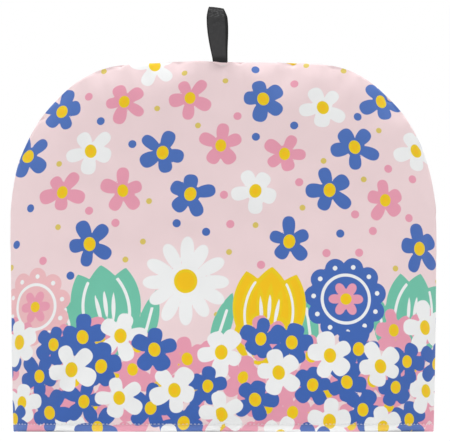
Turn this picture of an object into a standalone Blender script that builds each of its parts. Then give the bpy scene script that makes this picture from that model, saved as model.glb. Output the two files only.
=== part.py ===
# A padded tea cosy: two domed cloth panels sewn together round their curved edge,
# open along the hem at the foot, with a folded tape loop caught in the seam at the crown.
# Metres, +Z up. The cosy stands on its hem at z = 0 and its front faces -Y.
import math
from collections import namedtuple

import bmesh
import bpy
from mathutils import Vector

COLLECTION_NAME = "tea_cosy"

# Outline of a panel, seen from the front
BODY_HALF_WIDTH = 0.1704
HEM_HALF_WIDTH = 0.1682
SHOULDER_LEVEL = 0.1742  # the outline starts to close in above this height
CROWN_HEIGHT = 0.2966
SIDE_POWER = 4.3
CROWN_POWER = 1.6
SKIRT_POWER = 2.2

# How far a panel stands out from the seam, and how it rounds over towards it
HEM_HALF_DEPTH = 0.050
BULGE_POWER = 2.8
EDGE_POWER = 0.76

WALL = 0.0040  # cloth, padding and backing together
SEAM_WALL = 0.0032  # the wall is drawn thinner where the two panels are sewn
SEAM_GAP = 0.00015  # half of the gap between the two panels
INNER_CLEARANCE = 0.0007  # least distance of the inner face from the plane of the seam

# Mesh of a panel: columns across, rows up from the hem's stitching to the crown
COLUMNS = 30
BODY_ROWS = 20
CORNER_HEIGHT = 0.2535  # where a panel's side turns into its top
BOW_POWER = 3.0  # how late the rows bend up to follow the crown

# Sections through the turned-up hem, from its foot to above the stitching
HemRow = namedtuple("HemRow", "height outward wall")
HEM_ROWS = (
    HemRow(0.0000, -0.0004, 0.0034),
    HemRow(0.0013, 0.0007, 0.0052),
    HemRow(0.0034, 0.0009, 0.0056),
    HemRow(0.0052, 0.0002, 0.0046),
    HemRow(0.0061, -0.0008, 0.0028),
    HemRow(0.0076, -0.0002, 0.0036),
    HemRow(0.0105, 0.0000, 0.0040),
)

# Soft folds of a panel: ridges stand out, troughs go in
Fold = namedtuple("Fold", "x z half_width half_height outward")
FRONT_FOLDS = (
    Fold(-0.034, 0.282, 0.012, 0.020, 0.0016),
    Fold(0.025, 0.281, 0.014, 0.022, 0.0018),
    Fold(0.073, 0.280, 0.010, 0.018, 0.0014),
    Fold(-0.004, 0.285, 0.010, 0.018, -0.0012),
    Fold(0.050, 0.283, 0.009, 0.018, -0.0010),
    Fold(-0.112, 0.226, 0.014, 0.016, -0.0014),
    Fold(0.150, 0.208, 0.012, 0.020, -0.0014),
    Fold(-0.142, 0.036, 0.010, 0.030, -0.0016),
    Fold(-0.118, 0.028, 0.010, 0.026, 0.0012),
    Fold(0.148, 0.048, 0.011, 0.034, -0.0012),
)
BACK_FOLDS = (
    Fold(-0.060, 0.281, 0.012, 0.020, 0.0016),
    Fold(0.006, 0.282, 0.014, 0.022, 0.0015),
    Fold(0.082, 0.272, 0.012, 0.020, 0.0014),
    Fold(0.128, 0.222, 0.014, 0.018, -0.0014),
    Fold(-0.146, 0.052, 0.011, 0.032, -0.0014),
    Fold(0.120, 0.034, 0.012, 0.030, -0.0012),
)

# The seam opens a little round the loop's ends
LOOP_X = -0.0024
ROOT_HALF_OPENING = 0.00165
ROOT_REACH = 0.021  # the seam is closed again this far to either side
ROOT_PLATEAU = 0.0095

# Sections along one leg of the loop, from its root in the seam to the fold
TAPE_THICKNESS = 0.0012
LoopRow = namedtuple("LoopRow", "height centre width apart")
LOOP_ROWS = (
    LoopRow(0.2905, -0.0024, 0.0114, 0.0008),
    LoopRow(0.2975, -0.0024, 0.0116, 0.0009),
    LoopRow(0.3050, -0.0034, 0.0130, 0.0022),
    LoopRow(0.3118, -0.0039, 0.0142, 0.0038),
    LoopRow(0.3186, -0.0043, 0.0154, 0.0047),
    LoopRow(0.3262, -0.0047, 0.0160, 0.0049),
    LoopRow(0.3323, -0.0050, 0.0156, 0.0044),
)
FOLD_CENTRE_X = -0.0056
FOLD_WIDTH = 0.0120
FOLD_RISE = 0.0068  # from the last section to the top of the fold
FOLD_SLANT = 0.09  # the fold drops to the right by this much of its width
FOLD_STEPS = 11  # an odd number leaves one level strip at the top for a hook
CORNER_DROP = 0.0008  # the fold's corners are turned down
LEG_SHIFT = 0.0006  # the back leg shows past the front one on the right
TAPE_COLUMNS = 6
STEPS_BETWEEN_ROWS = 2

PANEL_COLOUR = (0.84, 0.66, 0.68, 1.0)
TAPE_COLOUR = (0.055, 0.055, 0.058, 1.0)


def mix(low, high, share):
    return low + (high - low) * share


def half_width_at(height):
    """Half of the panel's width at a height, from the hem to the crown."""
    if height <= SHOULDER_LEVEL:
        below = (SHOULDER_LEVEL - height) / SHOULDER_LEVEL
        return mix(BODY_HALF_WIDTH, HEM_HALF_WIDTH, below**SKIRT_POWER)
    rise = min((height - SHOULDER_LEVEL) / (CROWN_HEIGHT - SHOULDER_LEVEL), 1.0)
    return BODY_HALF_WIDTH * (1.0 - rise**CROWN_POWER) ** (1.0 / SIDE_POWER)


def seam_height_at(x):
    """Height of the curved seam above a place on the hem."""
    across = min(abs(x) / BODY_HALF_WIDTH, 1.0)
    rise = (1.0 - across**SIDE_POWER) ** (1.0 / CROWN_POWER)
    return mix(SHOULDER_LEVEL, CROWN_HEIGHT, rise)


def inside_outline(x, z):
    return z < CROWN_HEIGHT and abs(x) < half_width_at(z)


def share_of_way_to_seam(x, z):
    """0 at the middle of the hem and 1 on the seam, along a straight line."""
    nearest, furthest = 0.01, 1.6
    for _ in range(28):
        scale = (nearest + furthest) / 2
        if inside_outline(x / scale, z / scale):
            furthest = scale
        else:
            nearest = scale
    return furthest


def fold_height(folds, x, z):
    total = 0.0
    for fold in folds:
        across = (x - fold.x) / fold.half_width
        up = (z - fold.z) / fold.half_height
        total += fold.outward * math.exp(-(across**2 + up**2))
    return total


def root_opening(x, z):
    """How far the seam is pushed open round the loop's ends."""
    aside = max(abs(x - LOOP_X) - ROOT_PLATEAU, 0.0) / (ROOT_REACH - ROOT_PLATEAU)
    if aside >= 1.0 or z < SHOULDER_LEVEL:
        return 0.0
    return ROOT_HALF_OPENING * (1.0 + math.cos(math.pi * aside)) / 2


def panel_depth(folds, x, z):
    """Distance of the panel's outer face from the plane of the seam."""
    share = min(share_of_way_to_seam(x, z), 1.0)
    bulge = (1.0 - share**BULGE_POWER) ** EDGE_POWER
    fading = min(1.0, 6.0 * (1.0 - share))
    return HEM_HALF_DEPTH * bulge + fading * fold_height(folds, x, z)


def row_share(row):
    """Share of the corner's height at which a row meets the panel's side."""
    last_hem_row = len(HEM_ROWS) - 1
    if row <= last_hem_row:
        return HEM_ROWS[row].height / CORNER_HEIGHT
    start = HEM_ROWS[last_hem_row].height / CORNER_HEIGHT
    return mix(start, 1.0, (row - last_hem_row) / BODY_ROWS)


def grid_place(column, row):
    """Place of a grid point in the plane of the seam."""
    across = -1.0 + 2.0 * column / COLUMNS
    share = row_share(row)
    side = half_width_at(CORNER_HEIGHT * share)
    corner = half_width_at(CORNER_HEIGHT)
    bow = seam_height_at(across * corner) - CORNER_HEIGHT
    return across * side, CORNER_HEIGHT * share + bow * share**BOW_POWER


def outline_inward(x, z):
    """Direction in the seam's plane that points from the outline into the panel."""
    if z <= SHOULDER_LEVEL:
        return Vector((-math.copysign(1.0, x), 0.0, 0.0))
    across = abs(x) / BODY_HALF_WIDTH
    rise = (z - SHOULDER_LEVEL) / (CROWN_HEIGHT - SHOULDER_LEVEL)
    slope_x = SIDE_POWER * across ** (SIDE_POWER - 1.0) / BODY_HALF_WIDTH
    slope_z = CROWN_POWER * rise ** (CROWN_POWER - 1.0) / (CROWN_HEIGHT - SHOULDER_LEVEL)
    return -Vector((math.copysign(slope_x, x), 0.0, slope_z)).normalized()


def add_material(panel, colour, roughness):
    material = bpy.data.materials.new(panel.name + "_cloth")
    material.use_nodes = True
    shader = material.node_tree.nodes["Principled BSDF"]
    shader.inputs["Base Color"].default_value = colour
    shader.inputs["Roughness"].default_value = roughness
    shader.inputs["Metallic"].default_value = 0.0
    panel.data.materials.append(material)


def shape_outer_face(grid, folds, facing):
    """Bends a flat grid into the outer face and returns each point's grid place."""
    places = {}
    for vertex in grid.verts:
        column = round((vertex.co.x + 1.0) / 2.0 * COLUMNS)
        rows = len(HEM_ROWS) - 1 + BODY_ROWS
        row = round((vertex.co.y + 1.0) / 2.0 * rows)
        places[vertex] = (column, row)
    for vertex, (column, row) in places.items():
        x, z = grid_place(column, row)
        on_seam = column in (0, COLUMNS) or row == len(HEM_ROWS) - 1 + BODY_ROWS
        depth = 0.0 if on_seam else panel_depth(folds, x, z)
        depth = max(depth, SEAM_GAP + root_opening(x, z))
        vertex.co = (x, facing * depth, z)
    return places


def swell_hem(grid, places):
    """Moves the hem's rows out or in from the plain skirt of the panel."""
    for vertex, (column, row) in places.items():
        if row < len(HEM_ROWS) and 0 < column < COLUMNS:
            level = Vector((vertex.normal.x, vertex.normal.y, 0.0)).normalized()
            vertex.co += level * HEM_ROWS[row].outward


def place_inner_face(outer_points, places, pairs, facing):
    """Sets each inner point one wall's thickness inside its outer point."""
    last_row = len(HEM_ROWS) - 1 + BODY_ROWS
    for outer, inner in pairs.items():
        column, row = places[outer]
        position, normal = outer_points[outer]
        wall = HEM_ROWS[row].wall if row < len(HEM_ROWS) else WALL
        if column in (0, COLUMNS) or row == last_row:
            inner.co = position + outline_inward(position.x, position.z) * SEAM_WALL
        elif row == 0:
            level = Vector((normal.x, normal.y, 0.0)).normalized()
            inner.co = position - level * wall
        else:
            inner.co = position - normal * wall
            inner.co.y = facing * max(facing * inner.co.y, INNER_CLEARANCE)


def make_panel(name, folds, facing):
    """One domed panel: an outer face, an inner face and the rims between them."""
    grid = bmesh.new()
    bmesh.ops.create_grid(
        grid, x_segments=COLUMNS, y_segments=len(HEM_ROWS) - 1 + BODY_ROWS, size=1.0
    )
    places = shape_outer_face(grid, folds, facing)
    middle_face = min(grid.faces, key=lambda face: abs(face.calc_center_median().x))
    middle_face.normal_update()
    if middle_face.normal.y * facing < 0:
        bmesh.ops.reverse_faces(grid, faces=grid.faces)
    grid.normal_update()
    swell_hem(grid, places)
    grid.normal_update()
    outer_points = {vert: (vert.co.copy(), vert.normal.copy()) for vert in places}
    copied = bmesh.ops.duplicate(grid, geom=grid.faces)
    pairs = {outer: copied["vert_map"][outer] for outer in places}
    place_inner_face(outer_points, places, pairs, facing)
    inner_faces = [item for item in copied["geom"] if isinstance(item, bmesh.types.BMFace)]
    bmesh.ops.reverse_faces(grid, faces=inner_faces)
    rims = [edge for edge in grid.edges if edge.is_boundary]
    bmesh.ops.bridge_loops(grid, edges=rims)
    bmesh.ops.recalc_face_normals(grid, faces=grid.faces)
    return finish_object(name, grid)


def finish_object(name, shape):
    mesh = bpy.data.meshes.new(name)
    shape.to_mesh(mesh)
    shape.free()
    mesh.shade_smooth()
    mesh.set_sharp_from_angle(angle=math.radians(50.0))
    made = bpy.data.objects.new(name, mesh)
    bpy.data.collections[COLLECTION_NAME].objects.link(made)
    return made


def leg_sections():
    """Sections up one leg of the loop, with extra ones between the table's rows."""
    sections = []
    for lower, upper in zip(LOOP_ROWS, LOOP_ROWS[1:]):
        for step in range(STEPS_BETWEEN_ROWS):
            share = step / STEPS_BETWEEN_ROWS
            sections.append(LoopRow(*(mix(a, b, share) for a, b in zip(lower, upper))))
    sections.append(LOOP_ROWS[-1])
    return sections


def loop_sections():
    """(centre x, y, z, width, share of the fold) along the whole tape."""
    front = [(s.centre - leg_lean(s), -s.apart, s.height, s.width, 0.0) for s in leg_sections()]
    last = LOOP_ROWS[-1]
    fold = []
    for step in range(1, FOLD_STEPS):
        angle = math.pi * step / FOLD_STEPS
        share = math.sin(angle)
        fold.append(
            (
                mix(last.centre, FOLD_CENTRE_X, share) - leg_lean(last) * math.cos(angle),
                -last.apart * math.cos(angle),
                last.height + FOLD_RISE * share,
                mix(last.width, FOLD_WIDTH, share),
                share,
            )
        )
    back = [(s.centre + leg_lean(s), s.apart, s.height, s.width, 0.0) for s in leg_sections()]
    return front + fold + back[::-1]


def leg_lean(section):
    return LEG_SHIFT * section.apart / LOOP_ROWS[-1].apart


def make_loop(name):
    """The folded tape: an open ribbon with its thickness from Solidify."""
    sections = loop_sections()
    ribbon = bmesh.new()
    bmesh.ops.create_grid(
        ribbon, x_segments=TAPE_COLUMNS, y_segments=len(sections) - 1, size=1.0
    )
    for vertex in ribbon.verts:
        across = vertex.co.x
        centre, y, z, width, fold_share = sections[
            round((vertex.co.y + 1.0) / 2.0 * (len(sections) - 1))
        ]
        drop = fold_share * (CORNER_DROP * abs(across) ** 3 + FOLD_SLANT * across * width / 2)
        vertex.co = (centre + across * width / 2, y, z - drop)
    bmesh.ops.recalc_face_normals(ribbon, faces=ribbon.faces)
    made = finish_object(name, ribbon)
    wall = made.modifiers.new("tape_thickness", "SOLIDIFY")
    wall.thickness = TAPE_THICKNESS
    wall.offset = 0.0
    wall.use_even_offset = True
    return made


def main():
    for left_over in list(bpy.data.objects):
        bpy.data.objects.remove(left_over, do_unlink=True)
    collection = bpy.data.collections.new(COLLECTION_NAME)
    bpy.context.scene.collection.children.link(collection)
    add_material(make_panel("front_panel", FRONT_FOLDS, -1.0), PANEL_COLOUR, 0.85)
    add_material(make_panel("back_panel", BACK_FOLDS, 1.0), PANEL_COLOUR, 0.85)
    add_material(make_loop("hanging_loop"), TAPE_COLOUR, 0.80)


main()
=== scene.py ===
import math
import random

import bpy
import numpy as np
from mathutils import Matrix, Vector


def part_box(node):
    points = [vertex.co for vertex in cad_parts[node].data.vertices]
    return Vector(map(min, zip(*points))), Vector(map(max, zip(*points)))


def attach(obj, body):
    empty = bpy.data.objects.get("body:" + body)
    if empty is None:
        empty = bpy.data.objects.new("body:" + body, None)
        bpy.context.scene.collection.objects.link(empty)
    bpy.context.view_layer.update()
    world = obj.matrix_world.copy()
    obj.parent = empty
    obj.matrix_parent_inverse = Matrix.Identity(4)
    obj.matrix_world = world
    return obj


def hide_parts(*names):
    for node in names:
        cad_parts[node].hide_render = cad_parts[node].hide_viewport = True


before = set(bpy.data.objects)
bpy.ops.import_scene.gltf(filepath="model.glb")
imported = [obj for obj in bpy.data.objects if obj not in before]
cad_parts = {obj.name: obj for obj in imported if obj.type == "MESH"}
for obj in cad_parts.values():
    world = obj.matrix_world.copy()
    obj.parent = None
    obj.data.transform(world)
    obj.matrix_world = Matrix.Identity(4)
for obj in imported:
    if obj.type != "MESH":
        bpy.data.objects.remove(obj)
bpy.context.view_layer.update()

bpy.ops.object.select_all(action="DESELECT")
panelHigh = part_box("front_panel")[1]
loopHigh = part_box("hanging_loop")[1]


# small helpers

def mix(low, high, share):
    return low + (high - low) * share


def smoothStep(low, high, value):
    share = np.clip((value - low) / (high - low), 0.0, 1.0)
    return share * share * (3.0 - 2.0 * share)


def unit(vectors):
    length = np.linalg.norm(vectors, axis=-1, keepdims=True)
    return vectors / np.maximum(length, 1e-12)


def eased(table, times):
    for _ in range(times):
        table[1:-1] = (table[:-2] + 2 * table[1:-1] + table[2:]) / 4
    return table


def turned(x, z, angle):
    # places measured in axes that are turned by an angle
    return x * math.cos(angle) + z * math.sin(angle), z * math.cos(angle) - x * math.sin(angle)


def lengthAlong(points):
    # distance from the first of a line's points to each one
    steps = np.linalg.norm(np.diff(points, axis=0), axis=1)
    return np.concatenate([[0.0], np.cumsum(steps)])


def screenColour(red, green, blue):
    # a screen colour, 0 to 255, as the linear one that shaders take
    def linear(value):
        value /= 255.0
        return value / 12.92 if value <= 0.04045 else ((value + 0.055) / 1.055) ** 2.4
    return linear(red), linear(green), linear(blue), 1.0


def newPiece(name, points, faces):
    mesh = bpy.data.meshes.new(name)
    mesh.from_pydata(points, [], faces)
    mesh.shade_smooth()
    piece = bpy.data.objects.new(name, mesh)
    bpy.context.scene.collection.objects.link(piece)
    return piece


# a closed sheet of cloth from two grids of points

sharpAngle = 55.0        # degrees: an edge between faces that meet more steeply stays crisp


def gridIndex(points, first):
    rows, columns = points.shape[:2]
    return np.arange(rows * columns).reshape(rows, columns) + first


def gridFaces(index):
    corners = (index[:-1, :-1], index[:-1, 1:], index[1:, 1:], index[1:, :-1])
    return np.stack(corners, axis=-1).reshape(-1, 4)


def ringOf(index):
    return np.concatenate([index[0, :-1], index[:-1, -1], index[-1, :0:-1], index[:0:-1, 0]])


def closedSheet(name, outer, inner, step, facesTurned):
    # the inner grid has one row and one column for every step of the outer grid's
    outerIndex, innerIndex = gridIndex(outer, 0), gridIndex(inner, outer.shape[0] * outer.shape[1])
    faces = gridFaces(outerIndex).tolist()
    innerFaces = gridFaces(innerIndex)[:, ::-1].tolist()
    outerRing, innerRing = ringOf(outerIndex).tolist(), ringOf(innerIndex).tolist()
    rim = []
    for place in range(len(innerRing)):
        outside = [outerRing[(place * step + k) % len(outerRing)] for k in range(step, -1, -1)]
        rim.append(outside + [innerRing[place], innerRing[(place + 1) % len(innerRing)]])
    everything = faces + rim + innerFaces
    if facesTurned:
        everything = [face[::-1] for face in everything]
    points = np.concatenate([outer.reshape(-1, 3), inner.reshape(-1, 3)])
    piece = newPiece(name, points.tolist(), everything)
    piece.data.set_sharp_from_angle(angle=math.radians(sharpAngle))
    return piece, len(faces) + len(rim)


def storeFlat(piece, across, up):
    # the cloth's own flat coordinates, in metres, as a UV map
    layer = piece.data.uv_layers.new(name="flatCloth")
    corner = np.empty(len(piece.data.loops), np.int32)
    piece.data.loops.foreach_get("vertex_index", corner)
    layer.data.foreach_set("uv", np.stack([across, up], axis=-1)[corner].astype(np.float32).ravel())


def storeNumber(piece, name, values):
    stored = piece.data.attributes.new(name, "FLOAT", "POINT")
    stored.data.foreach_set("value", values.astype(np.float32))


# the panels' shape, worked out from the frame

panelShape = dict(
    halfWidth=panelHigh.x,
    hemHalfWidth=panelHigh.x - 0.0022,
    crownHeight=panelHigh.z,
    shoulderLevel=0.1742,
    sidePower=4.3,
    crownPower=1.6,
    skirtPower=2.2,
    hemHalfDepth=0.050,
    bulgePower=2.8,
    edgePower=0.76,
    seamHalfGap=0.00015,
    wall=0.0040,
    seamWall=0.0028,
    innerClearance=0.0006,
    cornerHeight=0.2535,
    bowPower=3.0,
    columns=288,           # even, because the inner face has half as many
    bodyRows=236,
    hemRows=20,
    turnedRows=16,         # inside, the printed cloth is turned up as far as these rows of the hem
    hemTop=0.0120,
    crowding=0.04,         # how much closer the grid's lines stand at the seam
    crowdingPower=15,
    rollOut=0.0002,        # the padded cloth stands round the seam, which lies in a groove
    rollReach=0.0040,
    seamDrop=0.0018,
    rollFade=0.010,        # the roll grows over this height from the hem up
    rollAtHem=0.004,
    trimReach=0.030,
    trimSteps=600,
    trimEasing=24,
    creaseFade=0.012,      # creases and lumps grow over this distance from the seam
    puckerFade=0.002,
    puckerLow=0.12,        # the seam's puckers are weaker below, and full above the second height
    puckerHigh=0.26,
    sidePuckers=0.35,
    hemFade=0.004,
    nearestShare=0.001,    # a point's share of the way to the seam is found by halving this range
    furthestShare=1.6,
    halvings=32,
    outlineSteps=200,
    stretchSteps=48,
)

# height, how far out, wall: sections through the turned-up hem, with its line of stitching
hemProfile = np.array([
    (0.0000, -0.0006, 0.0033),
    (0.0005, 0.0004, 0.0048),
    (0.0012, 0.0009, 0.0053),
    (0.0024, 0.0010, 0.0054),
    (0.0042, 0.0010, 0.0054),
    (0.0052, 0.0006, 0.0047),
    (0.0058, -0.0003, 0.0034),
    (0.0061, -0.0005, 0.0032),
    (0.0066, -0.0003, 0.0034),
    (0.0078, 0.0000, 0.0038),
    (0.0100, 0.0001, 0.0040),
    (0.0120, 0.0000, 0.0040),
])

# x, z, half width, half height, turn in degrees, how far out: creases and soft hollows
frontCreases = (
    (-0.034, 0.284, 0.008, 0.016, 8, 0.0011),
    (-0.020, 0.286, 0.007, 0.014, 4, 0.0004),
    (-0.005, 0.283, 0.011, 0.014, -4, 0.0009),
    (0.010, 0.287, 0.005, 0.012, -8, 0.0006),
    (0.027, 0.282, 0.009, 0.019, -5, 0.0016),
    (0.050, 0.285, 0.008, 0.017, -12, -0.0010),
    (0.073, 0.281, 0.009, 0.016, -14, 0.0015),
    (0.092, 0.276, 0.006, 0.014, -22, -0.0009),
    (-0.062, 0.283, 0.007, 0.015, 12, -0.0009),
    (-0.088, 0.276, 0.009, 0.015, 24, 0.0012),
    (-0.112, 0.226, 0.014, 0.020, 20, -0.0020),
    (-0.138, 0.232, 0.010, 0.018, 42, 0.0014),
    (0.126, 0.240, 0.008, 0.017, -40, 0.0014),
    (0.150, 0.208, 0.010, 0.020, -30, -0.0018),
    (0.160, 0.186, 0.008, 0.014, -20, 0.0012),
    (-0.160, 0.158, 0.007, 0.026, 4, -0.0014),
    (0.164, 0.146, 0.006, 0.016, 0, -0.0016),
    (0.158, 0.116, 0.009, 0.020, 8, 0.0013),
    (-0.142, 0.036, 0.008, 0.030, -38, -0.0024),
    (-0.128, 0.030, 0.007, 0.026, -34, 0.0018),
    (-0.158, 0.050, 0.006, 0.026, -24, 0.0013),
    (0.148, 0.048, 0.009, 0.034, 6, -0.0017),
    (0.118, 0.026, 0.010, 0.024, 24, 0.0013),
    (0.020, 0.190, 0.060, 0.030, 10, -0.0020),
    (-0.070, 0.130, 0.040, 0.030, -20, 0.0016),
)
backCreases = (
    (-0.060, 0.283, 0.009, 0.017, 10, 0.0021),
    (-0.040, 0.285, 0.006, 0.014, 4, -0.0015),
    (-0.018, 0.286, 0.006, 0.013, 2, 0.0010),
    (0.008, 0.284, 0.010, 0.018, -4, -0.0019),
    (0.030, 0.286, 0.006, 0.014, -6, 0.0014),
    (0.056, 0.284, 0.007, 0.015, -10, -0.0012),
    (0.082, 0.276, 0.009, 0.017, -18, 0.0019),
    (0.128, 0.222, 0.013, 0.018, -26, -0.0018),
    (-0.104, 0.262, 0.009, 0.016, 30, -0.0014),
    (-0.130, 0.224, 0.012, 0.020, 30, 0.0016),
    (-0.148, 0.052, 0.009, 0.032, 16, -0.0019),
    (0.120, 0.034, 0.010, 0.030, 26, -0.0018),
    (0.138, 0.040, 0.008, 0.026, 22, 0.0015),
    (0.000, 0.170, 0.070, 0.034, -12, -0.0018),
)

# wave length along the seam, how far out, how far it reaches into the panel, phase
seamPuckers = (
    (0.0470, 0.00080, 0.022, 0.4),
    (0.0310, 0.00065, 0.016, 2.1),
    (0.0172, 0.00038, 0.010, 4.0),
    (0.0093, 0.00014, 0.005, 1.3),
)

# where along x a stitch of the seam pulls the cloth in
seamNips = (0.0136, 0.0560, 0.1340, -0.0820, -0.1460)
nipShape = dict(reach=0.0026, pull=0.0014, sink=0.0008, fade=0.001)

# distance along the seam from the hem's right end, how far the outline stands out there
outlineTrim = np.array([
    (0.000, 0.0003),
    (0.160, 0.0004),
    (0.185, 0.0000),
    (0.230, 0.0002),
    (0.280, -0.0018),
    (0.320, 0.0013),
    (0.365, -0.0008),
    (0.418, -0.0003),
    (0.440, 0.0006),
    (0.475, -0.0009),
    (0.505, 0.0009),
    (0.560, -0.0021),
    (0.620, 0.0009),
    (0.650, 0.0000),
    (0.680, 0.0003),
    (0.720, -0.0002),
    (0.835, 0.0000),
])

# wave length, direction in degrees, how far out: soft lumps of the padding
paddingLumps = (
    (0.058, 20, 0.00022),
    (0.041, 105, 0.00018),
    (0.033, 62, 0.00014),
    (0.026, 150, 0.00011),
    (0.019, 8, 0.00006),
)

# the seam opens a little round the loop's ends
loopRoot = dict(x=-0.0024, halfOpening=0.00165, plateau=0.0080, reach=0.0150)


def halfWidthAt(z):
    panel = panelShape
    below = np.clip((panel["shoulderLevel"] - z) / panel["shoulderLevel"], 0.0, 1.0)
    skirt = mix(panel["halfWidth"], panel["hemHalfWidth"], below ** panel["skirtPower"])
    rise = np.clip((z - panel["shoulderLevel"]) / (panel["crownHeight"] - panel["shoulderLevel"]), 0.0, 1.0)
    dome = panel["halfWidth"] * (1.0 - rise ** panel["crownPower"]) ** (1.0 / panel["sidePower"])
    return np.where(z <= panel["shoulderLevel"], skirt, dome)


def seamHeightAt(x):
    panel = panelShape
    across = np.clip(np.abs(x) / panel["halfWidth"], 0.0, 1.0)
    rise = (1.0 - across ** panel["sidePower"]) ** (1.0 / panel["crownPower"])
    return mix(panel["shoulderLevel"], panel["crownHeight"], rise)


def shareToSeam(x, z):
    # 0 at the middle of the hem and 1 on the seam, along a straight line
    panel = panelShape
    near, far = np.full(x.shape, panel["nearestShare"]), np.full(x.shape, panel["furthestShare"])
    for _ in range(panel["halvings"]):
        scale = (near + far) / 2
        inside = (z / scale < panel["crownHeight"]) & (np.abs(x / scale) < halfWidthAt(z / scale))
        near, far = np.where(inside, near, scale), np.where(inside, scale, far)
    return np.minimum(far, 1.0)


def outlineOutward(x, z):
    # the outline's outward direction in the plane of the seam
    panel = panelShape
    height = panel["crownHeight"] - panel["shoulderLevel"]
    across = np.clip(np.abs(x) / panel["halfWidth"], 1e-6, 1.0)
    rise = np.clip((z - panel["shoulderLevel"]) / height, 0.0, 1.0)
    slopeX = np.sign(x) * panel["sidePower"] * across ** (panel["sidePower"] - 1.0) / panel["halfWidth"]
    slopeZ = panel["crownPower"] * rise ** (panel["crownPower"] - 1.0) / height
    return unit(np.stack([slopeX, np.zeros_like(slopeX), slopeZ], axis=-1))


def lengthAlongSeam(x, z):
    # distance along the outline from the hem's right end, found by the angle at the middle of the hem
    corner, steps = panelShape["cornerHeight"], panelShape["outlineSteps"]
    side = np.linspace(0.0, corner, steps)
    top = np.linspace(float(halfWidthAt(corner)), 0.0, steps)[1:]
    outlineX = np.concatenate([halfWidthAt(side), top])
    outlineZ = np.concatenate([side, seamHeightAt(top)])
    outlineX = np.concatenate([outlineX, -outlineX[-2::-1]])
    outlineZ = np.concatenate([outlineZ, outlineZ[-2::-1]])
    along = np.concatenate([[0.0], np.cumsum(np.hypot(np.diff(outlineX), np.diff(outlineZ)))])
    return np.interp(np.arctan2(z, x), np.arctan2(outlineZ, outlineX), along)


def creaseHeight(creases, x, z):
    total = np.zeros_like(x)
    for creaseX, creaseZ, halfWide, halfHigh, turn, outward in creases:
        across, along = turned(x - creaseX, z - creaseZ, math.radians(turn))
        total += outward * np.exp(-((across / halfWide) ** 2 + (along / halfHigh) ** 2))
    return total


def crowd(share):
    # even steps that get shorter towards 1
    panel = panelShape
    return share * (1.0 + panel["crowding"]) - panel["crowding"] * share ** panel["crowdingPower"]


def panelPlaces():
    # the grid in the plane of the seam: rows from hem to crown, columns from left to right
    panel = panelShape
    across = crowd(np.linspace(-1.0, 1.0, panel["columns"] + 1))
    hem = np.linspace(0.0, panel["hemTop"], panel["hemRows"] + 1)
    rise = crowd(np.linspace(0.0, 1.0, panel["bodyRows"] + 1)[1:])
    body = mix(panel["hemTop"], panel["cornerHeight"], rise)
    height = np.concatenate([hem, body])[:, None]
    corner = float(halfWidthAt(panel["cornerHeight"]))
    bow = seamHeightAt(across * corner) - panel["cornerHeight"]
    x = across[None, :] * halfWidthAt(height)
    z = height + bow[None, :] * (height / panel["cornerHeight"]) ** panel["bowPower"]
    onSeam = np.zeros(x.shape, bool)
    onSeam[:, 0] = onSeam[:, -1] = onSeam[-1, :] = True
    return x, z, onSeam


def surfaceNormals(points, facing):
    across, up = np.gradient(points, axis=1), np.gradient(points, axis=0)
    return unit(np.cross(across, up)) * -facing


def level(vectors):
    return unit(vectors * np.array([1.0, 1.0, 0.0]))


def flatPlaces(x, z, share):
    # where a point lies on the cloth before it is shaped, measured from the middle of the hem
    panel = panelShape
    reach = np.hypot(x, z) / np.maximum(share, 1e-4)
    stretch = np.zeros_like(x)
    steps = panel["stretchSteps"]
    for step in range(steps):
        part = np.maximum(share * (step + 0.5) / steps, 1e-6)
        bend = panel["bulgePower"] * part ** (panel["bulgePower"] - 1.0)
        slope = panel["hemHalfDepth"] * panel["edgePower"] * bend
        slope = slope * (1.0 - part ** panel["bulgePower"]) ** (panel["edgePower"] - 1.0)
        slope = slope / np.maximum(reach, 1e-4)
        stretch += np.sqrt(1.0 + slope ** 2) / steps
    return x * stretch, z * stretch


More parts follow.
